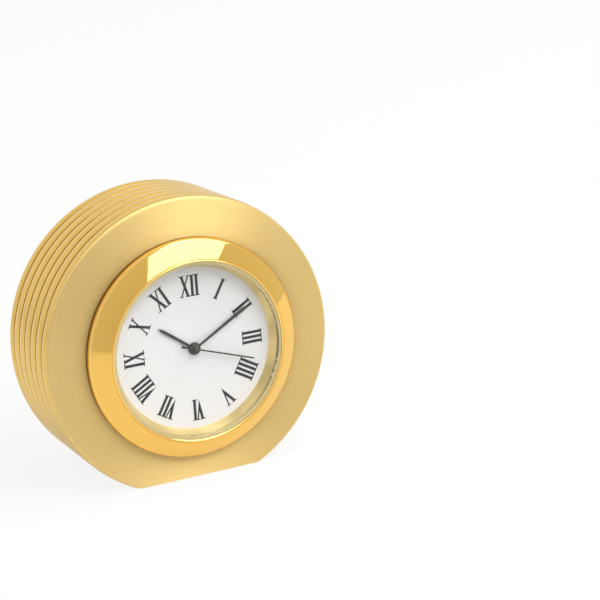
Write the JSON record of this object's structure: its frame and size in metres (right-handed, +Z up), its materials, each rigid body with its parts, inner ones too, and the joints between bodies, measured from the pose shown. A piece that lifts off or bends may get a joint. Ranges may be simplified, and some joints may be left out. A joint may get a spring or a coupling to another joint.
{
  "type": "desk clock",
  "caption": "Round ridged brass desk clock cut flat to stand, with a push-in quartz insert, Roman dial, turning hands and a round medallion let into its back.",
  "frame": {"origin": "centre of the flat that the clock stands on, on the surface it stands on", "axes": "+Z up; -Y towards the reader, out of the dial's side, which leans back 6.5 degrees; +X to the reader's right, towards 3 o'clock"},
  "size_m": [0.0572, 0.0297, 0.0535],
  "materials": {
    "case_brass": "solid brass, ridges polished, faces turned with fine brush lines, lacquered",
    "bezel_brass": "brass, mirror polished and lacquered",
    "medallion_brass": "struck brass, blasted ground and polished relief",
    "adhesive_pad": "double-sided foam tape",
    "crystal_glass": "flat mineral glass, polished",
    "gasket_nylon": "clear nylon ring",
    "flange_brass": "polished sloping ring round the dial",
    "dial_white": "white enamel with black printed numerals",
    "hand_black": "black lacquered brass",
    "cup_plastic": "moulded black plastic",
    "frame_plastic": "moulded white acetal",
    "grip_rubber": "soft translucent ring",
    "wheel_brass": "stamped and hobbed brass",
    "arbor_steel": "turned steel",
    "screw_steel": "nickelled steel",
    "magnet": "sintered magnet, bare",
    "motor_iron": "soft iron lamination",
    "winding_copper": "enamelled copper wire",
    "board_green": "circuit board with solder mask",
    "chip_black": "moulded epoxy blob",
    "can_steel": "drawn tin-plated can",
    "cell_steel": "button cell, nickelled steel",
    "contact_steel": "spring steel strip"
  },
  "bodies": {
    "case": {"case_body": "case_brass", "medallion": "medallion_brass", "medallion_pad": "adhesive_pad"},
    "insert": {"bezel": "bezel_brass", "crystal": "crystal_glass", "crystal_gasket": "gasket_nylon", "dial_flange": "flange_brass", "dial": "dial_white", "dial_spacer": "frame_plastic", "insert_cup": "cup_plastic", "battery_cover": "cup_plastic", "grip_ring": "grip_rubber", "main_plate": "frame_plastic", "centre_bush": "wheel_brass", "minute_wheel_stud": "arbor_steel", "train_bridge": "frame_plastic", "bridge_screws": "screw_steel", "stator": "motor_iron", "coil_core": "motor_iron", "coil_bobbin": "frame_plastic", "coil_winding": "winding_copper", "coil_screws": "screw_steel", "circuit_board": "board_green", "circuit_chip": "chip_black", "oscillator_can": "can_steel", "battery": "cell_steel", "battery_spring": "contact_steel", "battery_clamp": "contact_steel"},
    "seconds": {"second_hand": "hand_black", "second_wheel": "wheel_brass"},
    "minutes": {"minute_hand": "hand_black", "cannon_pinion": "arbor_steel", "centre_wheel": "wheel_brass"},
    "hours": {"hour_hand": "hand_black", "hour_wheel": "wheel_brass"},
    "third_wheel": {"third_wheel": "wheel_brass"},
    "fifth_wheel": {"fifth_wheel": "wheel_brass"},
    "rotor": {"rotor_magnet": "magnet", "rotor_pinion": "arbor_steel"},
    "minute_wheel": {"minute_wheel": "wheel_brass"},
    "setting": {"setting_arbor": "arbor_steel", "setting_knob": "cup_plastic"}
  },
  "joints": [
    {"name": "insert_pull", "type": "slide", "parent": "case", "child": "insert", "axis": [0, -0.9936, 0.1132], "range_m": [0, 0.014]},
    {"name": "second_hand_spin", "type": "hinge", "parent": "insert", "child": "seconds", "pos_m": [0, -0.00749, 0.02524], "axis": [0, 0.9936, -0.1132], "continuous": true},
    {"name": "minute_hand_spin", "type": "hinge", "parent": "insert", "child": "minutes", "pos_m": [0, -0.00749, 0.02524], "axis": [0, 0.9936, -0.1132], "continuous": true},
    {"name": "hour_hand_spin", "type": "hinge", "parent": "insert", "child": "hours", "pos_m": [0, -0.00749, 0.02524], "axis": [0, 0.9936, -0.1132], "continuous": true},
    {"name": "third_wheel_spin", "type": "hinge", "parent": "insert", "child": "third_wheel", "pos_m": [-0.00394, -0.00737, 0.02629], "axis": [0, 0.9936, -0.1132], "continuous": true},
    {"name": "fifth_wheel_spin", "type": "hinge", "parent": "insert", "child": "fifth_wheel", "pos_m": [0.00297, -0.00716, 0.02819], "axis": [0, 0.9936, -0.1132], "continuous": true},
    {"name": "rotor_spin", "type": "hinge", "parent": "insert", "child": "rotor", "pos_m": [0.00297, -0.00677, 0.03153], "axis": [0, 0.9936, -0.1132], "continuous": true},
    {"name": "minute_wheel_spin", "type": "hinge", "parent": "insert", "child": "minute_wheel", "pos_m": [0.00192, -0.00787, 0.02193], "axis": [0, 0.9936, -0.1132], "continuous": true},
    {"name": "setting_knob_spin", "type": "hinge", "parent": "insert", "child": "setting", "pos_m": [0.00464, -0.00818, 0.01923], "axis": [0, 0.9936, -0.1132], "continuous": true}
  ],
  "couplings": [
    {"joint": "minute_hand_spin", "follows": "second_hand_spin", "ratio": 0.016667},
    {"joint": "hour_hand_spin", "follows": "second_hand_spin", "ratio": 0.0013889},
    {"joint": "third_wheel_spin", "follows": "second_hand_spin", "ratio": -0.13333},
    {"joint": "fifth_wheel_spin", "follows": "second_hand_spin", "ratio": -5},
    {"joint": "rotor_spin", "follows": "second_hand_spin", "ratio": 30},
    {"joint": "minute_wheel_spin", "follows": "second_hand_spin", "ratio": -0.0055556},
    {"joint": "setting_knob_spin", "follows": "second_hand_spin", "ratio": 0.016667}
  ]
}
